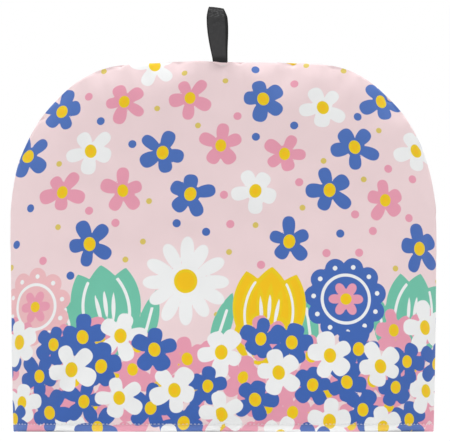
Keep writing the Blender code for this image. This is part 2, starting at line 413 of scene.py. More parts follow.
def panelSurfaces(creases, facing):
    panel = panelShape
    x, z, onSeam = panelPlaces()
    share = shareToSeam(x, z)
    fromSeam = (1.0 - share) * np.hypot(x, z)
    along = lengthAlongSeam(x, z)
    aside = np.abs(x - loopRoot["x"]) - loopRoot["plateau"]
    aside = np.clip(aside / (loopRoot["reach"] - loopRoot["plateau"]), 0.0, 1.0)
    opening = loopRoot["halfOpening"] * (1 + np.cos(math.pi * aside)) / 2
    opening = np.where(z > panel["shoulderLevel"], opening, 0.0)

    depth = panel["hemHalfDepth"] * (1.0 - share ** panel["bulgePower"]) ** panel["edgePower"]
    clear = smoothStep(0.0, panel["creaseFade"], fromSeam)
    depth = depth + clear * creaseHeight(creases, x, z)
    for length, turn, outward in paddingLumps:
        way = turned(x, z, math.radians(turn))[0]
        lump = outward * np.sin(2 * math.pi * way / length + turn + 2 * facing)
        depth = depth + clear * lump
    depth = np.maximum(np.where(onSeam, 0.0, depth), panel["seamHalfGap"] + opening)
    plain = np.stack([x, facing * depth, z], axis=-1)
    normals = surfaceNormals(plain, facing)

    # the outer face: puckers along the seam, the roll beside it and the hem's swell
    outward = np.zeros_like(x)
    for length, height, reach, phase in seamPuckers:
        wave = np.sin(2 * math.pi * along / length + phase + facing)
        outward += wave * height * np.exp(-fromSeam / reach) * smoothStep(0.0, panel["puckerFade"], fromSeam)
    outward *= mix(panel["sidePuckers"], 1.0, smoothStep(panel["puckerLow"], panel["puckerHigh"], z))
    outer = plain + normals * outward[..., None]
    roll = panel["rollOut"] * np.exp(-(fromSeam / panel["rollReach"]) ** 2)
    roll = np.where(onSeam, -panel["seamDrop"], roll)
    roll = roll * smoothStep(0.0, panel["rollFade"], z + panel["rollAtHem"])
    trimPlace, trimOut = outlineTrim.T
    trimAlong = np.linspace(0.0, trimPlace[-1], panel["trimSteps"])
    trim = eased(np.interp(trimAlong, trimPlace, trimOut), panel["trimEasing"])
    roll += np.interp(along, trimAlong, trim) * np.exp(-fromSeam / panel["trimReach"])
    nip = np.zeros_like(x)
    for nipX in seamNips:
        apart = np.hypot(x + facing * nipX, z - seamHeightAt(nipX))
        nip += np.exp(-(apart / nipShape["reach"]) ** 2)
    roll -= nipShape["pull"] * nip
    sunk = nipShape["sink"] * nip * smoothStep(0.0, nipShape["fade"], fromSeam)
    outer = outer - normals * sunk[..., None]
    outer = outer + outlineOutward(x, z) * roll[..., None]
    hemHeight, hemOut, hemWall = hemProfile.T
    hem = np.interp(z, hemHeight, hemOut, right=0.0) * smoothStep(0.0, panel["hemFade"], fromSeam)
    outer = outer + level(normals) * hem[..., None]
    outer[0, :, 2] = 0.0

    # the inner face, with half the rows and columns
    wall = np.interp(z, hemHeight, hemWall - hemOut, right=panel["wall"])
    inner = plain - np.where((z == 0.0)[..., None], level(normals), normals) * wall[..., None]
    clearance = panel["innerClearance"] + opening
    inner[..., 1] = facing * np.maximum(facing * inner[..., 1], clearance)
    inner = np.where(onSeam[..., None], outer - outlineOutward(x, z) * panel["seamWall"], inner)
    inner[0, :, 2] = 0.0
    return outer, inner[::2, ::2], flatPlaces(x, z, share)


# the printed flowers, charted on the flat cloth

printInks = ("teal", "blush", "pink", "blue", "white", "yellow", "straw")
chartLimit = 0.02        # a chart holds the distance to each ink's nearest edge, up to this

# each blossom: uneven petals, fuller towards their tips, round a yellow eye
blossomShape = dict(
    petals=5,
    petalPlace=0.60,
    petalHalfLength=0.42,
    petalHalfWidth=0.310,
    fuller=0.16,
    squareness=2.3,
    heart=0.43,
    eyeAcross=0.270,
    eyeUp=0.315,
    lengths=(0.86, 1.18),
    widths=(0.84, 1.16),
    sway=0.12,
    reach=1.6,
    eyeTurn=0.3,
)

# the loose blossoms above stand in staggered rows, with small spots between them
scatterShape = dict(
    seed=23,
    pitchAcross=0.0540,
    pitchUp=0.0385,
    lowestRow=0.1510,
    rows=6,
    columns=4,             # to each side of the middle one
    shift=0.0055,
    colours=("pink", "blue", "white", "blue", "pink"),
    radii=dict(pink=0.0160, blue=0.0176, white=0.0176),
    blossomSpace=0.0042,
    blossomShare=0.95,     # of its radius that a blossom keeps clear of what is laid
    tulipShare=0.52,       # of a tulip's length that stays clear round it
    spotSpace=0.0160,
    onCloth=0.0020,
    clearTop=0.3180,
    clearReach=0.0140,
    spotTries=1500,
    spotsAcross=(-0.19, 0.19),
    spotsUp=(0.085, 0.345),
    spotReach=3,
    spotKinds=(("pink", 0.0032), ("straw", 0.0023), ("blue", 0.0032), ("straw", 0.0023), ("pink", 0.0032)),
)

# x, height, length of the petals, lean in degrees, colour, colour of its lines
tulips = (
    (-0.0930, 0.0930, 0.072, 7, "teal", "white"),
    (0.0360, 0.0900, 0.074, -4, "yellow", "white"),
    (0.1560, 0.0930, 0.066, -9, "teal", "white"),
)
tulipShape = dict(
    reach=1.1,              # all shares of the petals' length, but for the line and the angles
    petalWidth=0.52,
    petalRise=0.06,
    sideLength=0.94,
    sideWidth=0.46,
    sideRise=0.04,
    sideShift=0.15,
    sideLean=15.0,
    bowlAcross=0.36,
    bowlFlatness=0.86,
    bowlDrop=0.20,
    frontAcross=0.24,
    frontUp=0.30,
    line=0.0011,
    lineInset=2.2,
    veinLength=0.34,
    veinWidth=0.042,
    veinRise=0.12,
    veinFall=0.35,
    veinSpread=0.085,
    veinFan=7.0,
)

# x, height, radius, petals, colour, colour of its ring and spots, colour of its heart
roundBlooms = (
    (-0.1540, 0.1020, 0.0310, 10, "blush", "white", "pink"),
    (0.0980, 0.1060, 0.0330, 11, "blue", "white", "pink"),
)
roundBloomShape = dict(
    reach=1.3,              # all shares of the bloom's radius, but for the line and the spots
    disc=0.80,
    scallopPlace=0.76,
    scallop=0.25,
    firstAngle=0.2,
    ring=0.58,
    line=0.0011,
    spotPlace=0.79,
    spot=0.0018,
    heart=0.16,
    heartPetals=6,
    heartPlace=0.24,
    heartHalfLength=0.19,
    heartHalfWidth=0.115,
    heartFuller=0.2,
    eye=0.135,
)

# x, height, radius
daisies = (
    (-0.0300, 0.1200, 0.0340),
)
daisyShape = dict(
    seed=3,
    petals=12,
    reach=1.4,
    disc=0.38,
    petalPlace=0.63,
    petalHalfLength=0.38,
    petalHalfWidth=0.150,
    fuller=0.28,
    lengths=(0.94, 1.05),
    sway=0.05,
    eyeAcross=0.27,
    eyeUp=0.28,
)

# x, height, length, width, turn from upright in degrees
leaves = (
    (-0.1240, 0.0860, 0.058, 0.016, 14),
    (-0.0600, 0.0860, 0.056, 0.015, -14),
    (-0.0010, 0.0850, 0.054, 0.015, -18),
    (0.0680, 0.0860, 0.054, 0.015, 8),
    (0.1280, 0.0860, 0.054, 0.015, 12),
)
leafShape = dict(ribHalfWidth=0.0010, ribDrop=0.08, ribHalfLength=0.32)

# the bank of blossoms along the foot: a loose pink layer, and before it close rows that
# take their colours by turns; a greater depth is nearer the eye
bankShape = dict(
    seed=5,
    middleTop=0.064,
    sideRise=0.016,
    wave=0.008,
    waveLength=0.120,
    columns=8,             # to each side of the middle one
    jitter=0.0036,
    fullness=1.10,
    sizes=(0.94, 1.06),
    behind=dict(rows=4, pitchAcross=0.0340, pitchUp=0.0280),
    before=dict(rows=4, pitchAcross=0.0280, pitchUp=0.0245),
    turns=("white", "blue", "either"),
    either=("pink", "blue"),
    radii=dict(pink=0.0162, blue=0.0170, white=0.0182),
    behindDepth=-1.0,
    depth=dict(pink=0.0, blue=0.7, white=1.0),
)


def placesFrom(chart, near, x, up, turn):
    # the chart's places near a shape, measured from its middle
    return turned(chart["across"][near] - x, chart["up"][near] - up, turn)


def ellipse(chart, near, x, up, halfAcross, halfUp, turn=0.0):
    across, along = placesFrom(chart, near, x, up, turn)
    return (np.hypot(across / halfAcross, along / halfUp) - 1.0) * min(halfAcross, halfUp)


def disc(chart, near, x, up, radius):
    return ellipse(chart, near, x, up, radius, radius)


def roundPetal(chart, near, x, up, halfLength, halfWidth, fuller, turn, power=2.0):
    # like an ellipse along its turn, but wider towards its far end; a higher power squares it
    along, across = placesFrom(chart, near, x, up, turn)
    along = along / halfLength
    across = across / halfWidth / (1.0 + fuller * np.clip(along, -1.0, 1.0))
    size = (np.abs(across) ** power + np.abs(along) ** power) ** (1.0 / power)
    return (size - 1.0) * min(halfLength, halfWidth)


def pointed(chart, near, x, up, length, width, lean):
    # two arcs that meet in a point at each end
    across, along = placesFrom(chart, near, x, up, math.radians(lean))
    half, side = length / 2, width / 2
    bow = (half ** 2 + side ** 2) / (2 * side)
    return np.maximum(np.hypot(across - (bow - side), along), np.hypot(across + (bow - side), along)) - bow


def nearby(chart, x, up, reach):
    return np.flatnonzero((np.abs(chart["across"] - x) < reach) & (np.abs(chart["up"] - up) < reach))


def lay(chart, near, colour, distance):
    # the newest shape covers what was printed under it
    for ink in printInks:
        chart[ink][near] = np.maximum(chart[ink][near], -distance)
    chart[colour][near] = np.minimum(chart[colour][near], distance)


def placeAround(x, up, distance, angle):
    return x + distance * math.cos(angle), up + distance * math.sin(angle)


def layBlossom(chart, maker, x, up, radius, colour, fullness=1.0):
    blossom = blossomShape
    near = nearby(chart, x, up, radius * blossom["reach"])
    shape = disc(chart, near, x, up, blossom["heart"] * radius)
    start = maker.uniform(0.0, 2 * math.pi)
    for petal in range(blossom["petals"]):
        angle = start + 2 * math.pi * petal / blossom["petals"]
        angle += maker.uniform(-blossom["sway"], blossom["sway"])
        length = radius * maker.uniform(*blossom["lengths"])
        width = radius * blossom["petalHalfWidth"] * fullness * maker.uniform(*blossom["widths"])
        place = placeAround(x, up, blossom["petalPlace"] * length, angle)
        shape = np.minimum(shape, roundPetal(chart, near, *place, blossom["petalHalfLength"] * length,
                                             width, blossom["fuller"], angle, blossom["squareness"]))
    lay(chart, near, colour, shape)
    eyeTurn = maker.uniform(-blossom["eyeTurn"], blossom["eyeTurn"])
    eye = ellipse(chart, near, x, up, blossom["eyeAcross"] * radius, blossom["eyeUp"] * radius, eyeTurn)
    lay(chart, near, "yellow", eye)


def layTulip(chart, x, up, length, lean, colour, lineColour):
    tulip = tulipShape
    near = nearby(chart, x, up, length * tulip["reach"])
    tilt = math.radians(lean)

    def petal(shift, rise, size, width, turn):
        # a pointed petal; its place is measured from the middle of the flower, along its lean
        centreX = x + shift * length * math.cos(tilt) - rise * length * math.sin(tilt)
        centreUp = up + shift * length * math.sin(tilt) + rise * length * math.cos(tilt)
        return pointed(chart, near, centreX, centreUp, size * length, width * length, lean - turn)

    middle = petal(0.0, tulip["petalRise"], 1.0, tulip["petalWidth"], 0.0)
    bowlX = x + tulip["bowlDrop"] * length * math.sin(tilt)
    bowlUp = up - tulip["bowlDrop"] * length * math.cos(tilt)
    bowlAcross = tulip["bowlAcross"] * length
    bowl = ellipse(chart, near, bowlX, bowlUp, bowlAcross, bowlAcross * tulip["bowlFlatness"], tilt)
    cup = np.minimum(middle, bowl)
    for side in (-1, 1):
        cup = np.minimum(cup, petal(side * tulip["sideShift"], tulip["sideRise"], tulip["sideLength"],
                                    tulip["sideWidth"], side * tulip["sideLean"]))
    frontAcross, frontUp = tulip["frontAcross"] * length, tulip["frontUp"] * length
    front = np.minimum(middle, ellipse(chart, near, bowlX, bowlUp, frontAcross, frontUp, tilt))
    lay(chart, near, colour, cup)
    line = np.abs(front) - tulip["line"]
    lay(chart, near, lineColour, np.maximum(line, cup + tulip["lineInset"] * tulip["line"]))
    for side in (-1, 0, 1):
        rise = tulip["veinRise"] * (1 - tulip["veinFall"] * abs(side))
        vein = petal(side * tulip["veinSpread"], rise, tulip["veinLength"], tulip["veinWidth"],
                     side * tulip["veinFan"])
        lay(chart, near, lineColour, vein)


def layRoundBloom(chart, x, up, radius, petals, colour, ringColour, heartColour):
    bloom = roundBloomShape
    near = nearby(chart, x, up, radius * bloom["reach"])
    angles = [2 * math.pi * petal / petals + bloom["firstAngle"] for petal in range(petals)]
    shape = disc(chart, near, x, up, bloom["disc"] * radius)
    for angle in angles:
        place = placeAround(x, up, bloom["scallopPlace"] * radius, angle)
        shape = np.minimum(shape, disc(chart, near, *place, bloom["scallop"] * radius))
    lay(chart, near, colour, shape)
    lay(chart, near, ringColour, np.abs(disc(chart, near, x, up, bloom["ring"] * radius)) - bloom["line"])
    for angle in angles:
        place = placeAround(x, up, bloom["spotPlace"] * radius, angle)
        lay(chart, near, ringColour, disc(chart, near, *place, bloom["spot"]))
    heart = disc(chart, near, x, up, bloom["heart"] * radius)
    for petal in range(bloom["heartPetals"]):
        angle = 2 * math.pi * petal / bloom["heartPetals"]
        place = placeAround(x, up, bloom["heartPlace"] * radius, angle)
        heart = np.minimum(heart, roundPetal(chart, near, *place, bloom["heartHalfLength"] * radius,
                                             bloom["heartHalfWidth"] * radius, bloom["heartFuller"], angle))
    lay(chart, near, heartColour, heart)
    lay(chart, near, "yellow", disc(chart, near, x, up, bloom["eye"] * radius))


def layDaisy(chart, maker, x, up, radius):
    daisy = daisyShape
    near = nearby(chart, x, up, radius * daisy["reach"])
    shape = disc(chart, near, x, up, daisy["disc"] * radius)
    for petal in range(daisy["petals"]):
        angle = 2 * math.pi * petal / daisy["petals"] + maker.uniform(-daisy["sway"], daisy["sway"])
        length = radius * maker.uniform(*daisy["lengths"])
        place = placeAround(x, up, daisy["petalPlace"] * length, angle)
        shape = np.minimum(shape, roundPetal(chart, near, *place, daisy["petalHalfLength"] * length,
                                             daisy["petalHalfWidth"] * radius, daisy["fuller"], angle))
    lay(chart, near, "white", shape)
    eye = ellipse(chart, near, x, up, daisy["eyeAcross"] * radius, daisy["eyeUp"] * radius)
    lay(chart, near, "yellow", eye)


def layLeaf(chart, x, up, length, width, lean):
    leaf = leafShape
    near = nearby(chart, x, up, length)
    across, along = placesFrom(chart, near, x, up, math.radians(lean))
    lay(chart, near, "teal", pointed(chart, near, x, up, length, width, lean))
    ribEnds = np.abs(along + leaf["ribDrop"] * length) - leaf["ribHalfLength"] * length
    lay(chart, near, "white", np.maximum(np.abs(across) - leaf["ribHalfWidth"], ribEnds))


def isFree(taken, x, up, radius):
    return all(math.hypot(x - takenX, up - takenUp) > reach + radius for takenX, takenUp, reach in taken)


def layScatter(chart):
    scatter, maker = scatterShape, random.Random(scatterShape["seed"])
    taken = [(x, up, scatter["tulipShare"] * length) for x, up, length, *_ in tulips]
    taken += [(x, up, radius) for x, up, radius, *_ in roundBlooms + daisies]
    # clear cloth round the loop's ends
    taken.append((loopRoot["x"], scatter["clearTop"], scatter["clearReach"]))
    for row in range(scatter["rows"]):
        for column in range(-scatter["columns"], scatter["columns"] + 1):
            x = (column + 0.5 * (row % 2)) * scatter["pitchAcross"] + maker.uniform(-1, 1) * scatter["shift"]
            up = scatter["lowestRow"] + row * scatter["pitchUp"] + maker.uniform(-1, 1) * scatter["shift"]
            colour = scatter["colours"][(column + 2 * row) % len(scatter["colours"])]
            radius = scatter["radii"][colour]
            onCloth = nearby(chart, x, up, scatter["onCloth"]).size
            if onCloth and isFree(taken, x, up, radius * scatter["blossomShare"]):
                layBlossom(chart, maker, x, up, radius, colour)
                taken.append((x, up, radius + scatter["blossomSpace"]))
    for _ in range(scatter["spotTries"]):
        x, up = maker.uniform(*scatter["spotsAcross"]), maker.uniform(*scatter["spotsUp"])
        colour, radius = scatter["spotKinds"][len(taken) % len(scatter["spotKinds"])]
        if isFree(taken, x, up, radius):
            near = nearby(chart, x, up, radius * scatter["spotReach"])
            lay(chart, near, colour, disc(chart, near, x, up, radius))
            taken.append((x, up, scatter["spotSpace"]))


def bankPlaces(maker, rows, pitchAcross, pitchUp):
    # staggered rows under a wavy top; no two neighbours have the same turn
    bank = bankShape
    places = []
    for row in range(rows):
        for column in range(-bank["columns"], bank["columns"] + 1):
            x = (column + 0.5 * (row % 2)) * pitchAcross + maker.uniform(-1, 1) * bank["jitter"]
            top = bank["middleTop"] + bank["sideRise"] * (x / panelShape["halfWidth"]) ** 2
            top += bank["wave"] * math.sin(2 * math.pi * x / bank["waveLength"])
            up = top - row * pitchUp + maker.uniform(-1, 1) * bank["jitter"]
            places.append((x, up, (column - row // 2 - row) % len(bank["turns"])))
    return places


def layBank(chart):
    bank, maker = bankShape, random.Random(bankShape["seed"])
    blossoms = [(bank["behindDepth"], x, up, "pink") for x, up, _ in bankPlaces(maker, **bank["behind"])]
    for x, up, turn in bankPlaces(maker, **bank["before"]):
        colour = bank["turns"][turn]
        if colour == "either":
            colour = maker.choice(bank["either"])
        blossoms.append((bank["depth"][colour] + maker.random(), x, up, colour))
    for _, x, up, colour in sorted(blossoms):
        radius = bank["radii"][colour] * maker.uniform(*bank["sizes"])
        layBlossom(chart, maker, x, up, radius, colour, bank["fullness"])


def chartPrint(across, up):
    chart = {"across": across, "up": up}
    for ink in printInks:
        chart[ink] = np.full(across.shape, chartLimit)
    maker = random.Random(daisyShape["seed"])
    layScatter(chart)
    for leaf in leaves:
        layLeaf(chart, *leaf)
    for x, height, radius in daisies:
        layDaisy(chart, maker, x, height, radius)
    for bloom in roundBlooms:
        layRoundBloom(chart, *bloom)
    for tulip in tulips:
        layTulip(chart, *tulip)
    layBank(chart)
    return {ink: np.clip(chart[ink], -chartLimit, chartLimit) for ink in printInks}


# materials

pureWhite = (1.0, 1.0, 1.0, 1.0)


def newMaterial(name):
    material = bpy.data.materials.new(name)
    material.use_nodes = True
    return material, material.node_tree, material.node_tree.nodes["Principled BSDF"]


def addNode(tree, kind, inputs=(), **settings):
    node = tree.nodes.new(kind)
    for key, value in settings.items():
        setattr(node, key, value)
    for key, value in dict(inputs).items():
        if isinstance(value, bpy.types.NodeSocket):
            tree.links.new(value, node.inputs[key])
        else:
            node.inputs[key].default_value = value
    return node


def calculate(tree, operation, *values):
    return addNode(tree, "ShaderNodeMath", enumerate(values), operation=operation).outputs[0]


def blendColours(tree, share, first, second):
    return addNode(tree, "ShaderNodeMix", {0: share, 6: first, 7: second}, data_type="RGBA").outputs[2]


def ramp(tree, value, start, end):
    # 0 at start and 1 at end
    inputs = {"Value": value, "From Min": start, "From Max": end}
    return addNode(tree, "ShaderNodeMapRange", inputs).outputs[0]


def flatCoordinates(tree):
    flat = addNode(tree, "ShaderNodeUVMap", uv_map="flatCloth").outputs[0]
    parts = addNode(tree, "ShaderNodeSeparateXYZ", {0: flat})
    return flat, parts.outputs[0], parts.outputs[1]


def noise(tree, vector, scale, roughness=0.5):
    inputs = {"Vector": vector, "Scale": scale, "Detail": 3.0, "Roughness": roughness}
    return addNode(tree, "ShaderNodeTexNoise", inputs).outputs[0]


def scaleVector(tree, vector, scales):
    return addNode(tree, "ShaderNodeVectorMath", {0: vector, 1: scales}, operation="MULTIPLY").outputs[0]


def plainWeave(tree, across, up, pitch):
    warp = calculate(tree, "SINE", calculate(tree, "MULTIPLY", across, 2 * math.pi / pitch))
    weft = calculate(tree, "SINE", calculate(tree, "MULTIPLY", up, 2 * math.pi / pitch))
    return calculate(tree, "MULTIPLY", warp, weft)


def setSurface(tree, shader, colour, height, finish):
    inputs = {"Height": height, "Strength": finish["bumpStrength"], "Distance": finish["bumpHeight"]}
    bump = addNode(tree, "ShaderNodeBump", inputs)
    tree.links.new(colour, shader.inputs["Base Color"])
    tree.links.new(bump.outputs[0], shader.inputs["Normal"])
    shader.inputs["Roughness"].default_value = finish["roughness"]
    shader.inputs["Sheen Weight"].default_value = finish["sheen"]
    shader.inputs["Sheen Roughness"].default_value = 0.5
    shader.inputs["Specular IOR Level"].default_value = 0.3


clothFinish = dict(
    ground=(238, 214, 216),
    ink=dict(
        teal=(112, 194, 168),
        blush=(236, 186, 190),
        pink=(232, 156, 177),
        blue=(77, 114, 187),
        white=(240, 241, 241),
        yellow=(237, 203, 22),
        straw=(219, 196, 98),
    ),
    inkEdge=(0.00030, -0.00005),
    eye=(243, 194, 16),
    eyeDepth=(-0.0012, -0.0032),     # yellow deepens this far inside its edge
    lowBlue=(60, 100, 178),
    fadeTop=0.26,                    # the blue is darker towards the foot
    fadeFoot=0.05,
    paintedHemBand=(0.0064, 0.0058),        # the hem below its stitching is painted brighter and paler, a painted highlight and painted sheen where the hem band catches light
    paintedHemSheen=0.06,
    paintedHemLight=1.12,
    wearScale=28.0,
    wear=0.07,
    wearLow=0.965,
    slubScale=170.0,
    slub=1.6,
    weavePitch=0.00072,
    bumpHeight=0.00005,
    bumpStrength=0.5,
    roughness=0.88,
    sheen=0.25,
)


def printedCloth():
    finish = clothFinish
    material, tree, shader = newMaterial("printedCotton")
    flat, across, up = flatCoordinates(tree)
    colour = screenColour(*finish["ground"])
    for ink in printInks:
        field = addNode(tree, "ShaderNodeAttribute", attribute_name="ink" + ink.capitalize()).outputs["Fac"]
        shade = screenColour(*finish["ink"][ink])
        if ink == "yellow":
            deeper = ramp(tree, field, *finish["eyeDepth"])
            shade = blendColours(tree, deeper, shade, screenColour(*finish["eye"]))
        if ink == "blue":
            deeper = ramp(tree, up, finish["fadeTop"], finish["fadeFoot"])
            shade = blendColours(tree, deeper, shade, screenColour(*finish["lowBlue"]))
        colour = blendColours(tree, ramp(tree, field, *finish["inkEdge"]), colour, shade)
    # painted highlight and painted sheen: the hem band below the stitching is painted paler and brighter
    hem = ramp(tree, up, *finish["paintedHemBand"])
    paintedSheen = calculate(tree, "MULTIPLY", hem, finish["paintedHemSheen"])
    colour = blendColours(tree, paintedSheen, colour, pureWhite)
    light = calculate(tree, "MULTIPLY_ADD", hem, finish["paintedHemLight"] - 1.0, 1.0)
    # random wear, times the painted light on the hem band
    wearAndHemLight = noise(tree, flat, finish["wearScale"])
    wearAndHemLight = calculate(tree, "MULTIPLY_ADD", wearAndHemLight, finish["wear"], finish["wearLow"])
    wearAndHemLight = calculate(tree, "MULTIPLY", wearAndHemLight, light)
    colour = addNode(tree, "ShaderNodeVectorMath", {0: colour, "Scale": wearAndHemLight}, operation="SCALE").outputs[0]
    slub = noise(tree, flat, finish["slubScale"], roughness=0.6)
    slub = calculate(tree, "MULTIPLY", slub, finish["slub"])
    height = calculate(tree, "ADD", plainWeave(tree, across, up, finish["weavePitch"]), slub)
    setSurface(tree, shader, colour, height, finish)
    return material


backingFinish = dict(
    dark=(232, 230, 226),
    light=(240, 239, 236),
    cloudScale=40.0,
    weavePitch=0.00072,
    bumpHeight=0.00005,
    bumpStrength=0.5,
    roughness=0.92,
    sheen=0.15,
)


def plainBacking():
    finish = backingFinish
    material, tree, shader = newMaterial("plainBacking")
    flat, across, up = flatCoordinates(tree)
    clouds = noise(tree, flat, finish["cloudScale"])
    colour = blendColours(tree, clouds, screenColour(*finish["dark"]), screenColour(*finish["light"]))
    height = plainWeave(tree, across, up, finish["weavePitch"])
    setSurface(tree, shader, colour, height, finish)
    return material


tapeFinish = dict(
    dark=(48, 48, 49),
    light=(60, 60, 61),
    edge=(14, 14, 15),
    selvage=(0.80, 0.94),       # shares of the half width between which the tape darkens
    crest=(0.0036, 0.0020),     # and distances from the top of the fold, where the darkening is painted shade
    crinkleHighlight=(128, 128, 129),     # painted highlights: lighter flecks near the fold, where its crinkles catch light
    crinkleHighlightShare=0.55,
    crinkleHighlightReach=(0.0105, 0.0075),
    fleckStretch=(1.0, 2.4, 1.0),
    fleckScale=420.0,
    flecks=(0.50, 0.66),
    root=(0.0400, 0.0430),      # from here down to the seam the tape is in shade
    rootShare=0.75,
    lint=(120, 120, 120),
    lintScale=260.0,
    lintShare=0.12,
    ribPitch=0.0011,
    pickPitch=0.6,              # shares of the ribs' pitch and height
    pickHeight=0.5,
    contrast=0.25,
    bumpHeight=0.00009,
    bumpStrength=0.6,
    roughness=0.95,
    sheen=0.0,
)


def tapeCloth(halfWidth, crest):
    finish = tapeFinish
    material, tree, shader = newMaterial("darkTapeCotton")
    flat, across, up = flatCoordinates(tree)
    pickPitch = finish["ribPitch"] * finish["pickPitch"]
    rib = calculate(tree, "SINE", calculate(tree, "MULTIPLY", across, 2 * math.pi / finish["ribPitch"]))
    pick = calculate(tree, "SINE", calculate(tree, "MULTIPLY", up, 2 * math.pi / pickPitch))
    weave = calculate(tree, "MULTIPLY", pick, rib)
    weave = calculate(tree, "MULTIPLY_ADD", weave, finish["pickHeight"], rib)
    share = calculate(tree, "MULTIPLY_ADD", weave, finish["contrast"], 0.5)
    colour = blendColours(tree, share, screenColour(*finish["dark"]), screenColour(*finish["light"]))
    selvage = [halfWidth * part for part in finish["selvage"]]
    edge = ramp(tree, calculate(tree, "ABSOLUTE", across), *selvage)
    # painted shade: the tape is painted dark along the top of its fold
    fromCrest = calculate(tree, "ABSOLUTE", calculate(tree, "SUBTRACT", up, crest))
    edge = calculate(tree, "MAXIMUM", edge, ramp(tree, fromCrest, *finish["crest"]))
    # painted highlight: light flecks near the top of the fold stand for light on its crinkles
    streaks = scaleVector(tree, flat, finish["fleckStretch"])
    flecks = ramp(tree, noise(tree, streaks, finish["fleckScale"], roughness=0.6), *finish["flecks"])
    nearFold = ramp(tree, fromCrest, *finish["crinkleHighlightReach"])
    crinkleHighlight = calculate(tree, "MULTIPLY", flecks, nearFold)
    crinkleHighlight = calculate(tree, "MULTIPLY", crinkleHighlight, finish["crinkleHighlightShare"])
    colour = blendColours(tree, crinkleHighlight, colour, screenColour(*finish["crinkleHighlight"]))
    # painted shade: the tape is painted darker near its root at the seam
    root = calculate(tree, "MULTIPLY", ramp(tree, fromCrest, *finish["root"]), finish["rootShare"])
    edge = calculate(tree, "MAXIMUM", edge, root)
    colour = blendColours(tree, edge, colour, screenColour(*finish["edge"]))
    lint = noise(tree, flat, finish["lintScale"], roughness=0.7)
    lint = calculate(tree, "MULTIPLY", lint, finish["lintShare"])
    colour = blendColours(tree, lint, colour, screenColour(*finish["lint"]))
    setSurface(tree, shader, colour, weave, finish)
    return material


threadFinish = dict(
    dark=(228, 228, 230),
    light=(250, 250, 250),
    twistScale=500.0,
    bumpHeight=0.00008,
    bumpStrength=0.4,
    roughness=0.6,
    sheen=0.1,
)


def stitchThread():
    finish = threadFinish
    material, tree, shader = newMaterial("whiteThread")
    place = addNode(tree, "ShaderNodeTexCoord").outputs["Object"]
    twist = addNode(tree, "ShaderNodeTexWave", {"Vector": place, "Scale": finish["twistScale"]},
                    wave_type="BANDS", bands_direction="DIAGONAL").outputs[1]
    colour = blendColours(tree, twist, screenColour(*finish["dark"]), screenColour(*finish["light"]))
    setSurface(tree, shader, colour, twist, finish)
    return material


# the two panels

def makePanel(name, node, creases, facing, materials):
    outer, inner, (across, up) = panelSurfaces(creases, facing)
    piece, firstInner = closedSheet(name, outer, inner, 2, facing > 0)
    across = -facing * across
    everyAcross = np.concatenate([across.ravel(), across[::2, ::2].ravel()])
    everyUp = np.concatenate([up.ravel(), up[::2, ::2].ravel()])
    storeFlat(piece, everyAcross, everyUp)
    for ink, field in chartPrint(everyAcross, everyUp).items():
        storeNumber(piece, "ink" + ink.capitalize(), field)
    for material in materials:
        piece.data.materials.append(material)
    printedRows = panelShape["turnedRows"] // 2
    slots = np.zeros(len(piece.data.polygons), np.int32)
    slots[firstInner + (inner.shape[1] - 1) * printedRows:] = 1
    piece.data.polygons.foreach_set("material_index", slots)
    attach(piece, "root")
    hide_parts(node)
    stitchRow = int(np.argmin(np.abs(outer[:, outer.shape[1] // 2, 2] - stitchShape["height"])))
    return piece, outer[stitchRow]


# the hem's stitching

stitchShape = dict(
    height=0.0061,
    pitch=0.0032,
    length=0.0021,
    thickness=0.00055,
    sides=8,
    rings=6,
    lift=0.00012,
    endSpace=0.003,
    seeds=dict(front=17, back=18),
    shift=0.00012,         # no two stitches lie quite alike
    rise=0.00008,
    tilt=0.05,
    lengths=(0.94, 1.05),
)


def makeStitch():
    # one stitch along X: a short thread whose ends dip into the cloth
    shape = stitchShape
    bpy.ops.mesh.primitive_uv_sphere_add(segments=shape["sides"], ring_count=shape["rings"], radius=0.5)
    stitch = bpy.context.object
    bpy.ops.object.mode_set(mode="EDIT")
    bpy.ops.mesh.select_all(action="SELECT")
    bpy.ops.transform.resize(value=(shape["length"], shape["thickness"], shape["thickness"]))
    bpy.ops.object.mode_set(mode="OBJECT")
    for vertex in stitch.data.vertices:
        along = vertex.co.x / (shape["length"] / 2)
        fuller = (1.0 + along ** 2) ** 0.5
        vertex.co.y *= fuller
        vertex.co.z = vertex.co.z * fuller - 0.5 * shape["thickness"] * along ** 2
    return stitch


def fromLowest(face):
    # the same face, started at its lowest corner, so that every run gives the same one
    start = face.index(min(face))
    return face[start:] + face[:start]


def makeStitching(name, hemLine, facing, material):
    shape = stitchShape
    stitch = makeStitch()
    base = np.array([vertex.co[:] for vertex in stitch.data.vertices])
    faces = sorted(fromLowest(list(face.vertices)) for face in stitch.data.polygons)
    bpy.data.objects.remove(stitch, do_unlink=True)
    along = lengthAlong(hemLine)
    count = int((along[-1] - 2 * shape["endSpace"]) / shape["pitch"])
    maker = random.Random(shape["seeds"]["front" if facing < 0 else "back"])
    points, polygons = [], []
    for number in range(count + 1):
        at = shape["endSpace"] + number * shape["pitch"] + maker.uniform(-shape["shift"], shape["shift"])
        ends = [np.array([np.interp(at + offset, along, hemLine[:, axis]) for axis in range(3)])
                for offset in (-shape["length"] / 2, shape["length"] / 2)]
        way = unit(ends[1] - ends[0])
        outward = unit(np.cross(way, (0.0, 0.0, 1.0))) * -facing
        upward = np.cross(outward, way)
        way = unit(way + upward * maker.uniform(-shape["tilt"], shape["tilt"]))
        centre = (ends[0] + ends[1]) / 2 + outward * shape["lift"]
        centre = centre + upward * maker.uniform(-shape["rise"], shape["rise"])
        stretch = maker.uniform(*shape["lengths"])
        placed = centre + base[:, :1] * way * stretch + base[:, 1:2] * upward + base[:, 2:] * outward
        polygons += [[corner + len(points) for corner in face] for face in faces]
        points += placed.tolist()
    piece = newPiece(name, points, polygons)
    piece.data.materials.append(material)
    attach(piece, "root")
    return piece


# the hanging loop

